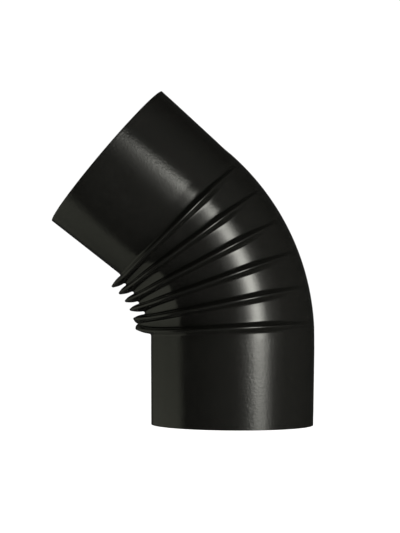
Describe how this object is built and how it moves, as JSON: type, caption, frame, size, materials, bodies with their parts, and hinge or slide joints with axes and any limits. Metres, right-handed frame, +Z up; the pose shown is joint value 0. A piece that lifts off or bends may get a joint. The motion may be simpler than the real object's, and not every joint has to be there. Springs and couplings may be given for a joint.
{
  "type": "pleated flue elbow",
  "caption": "Pleated sheet-steel flue elbow: straight tapered spigot below, folded bend, straight flared socket above, coated satin black.",
  "frame": {"origin": "on the plane of the spigot's rim, under the middle of the elbow's bounding box", "axes": "+Z up along the spigot's axis, +X towards the outside of the bend, +Y across the bend's plane of symmetry"},
  "size_m": [0.2422, 0.166, 0.3055],
  "materials": {
    "sleeve_coat": "satin black heat-resistant paint, faint orange peel",
    "bend_coat": "satin black heat-resistant paint, drawn smooth over the folds",
    "weld_coat": "painted weld bead"
  },
  "bodies": {
    "root": {"spigot_sleeve": "sleeve_coat", "pleated_bend": "bend_coat", "socket_sleeve": "sleeve_coat", "spigot_girth_weld": "weld_coat", "socket_girth_weld": "weld_coat", "spigot_seam_weld": "weld_coat", "bend_seam_weld": "weld_coat", "socket_seam_weld": "weld_coat"}
  },
  "joints": []
}
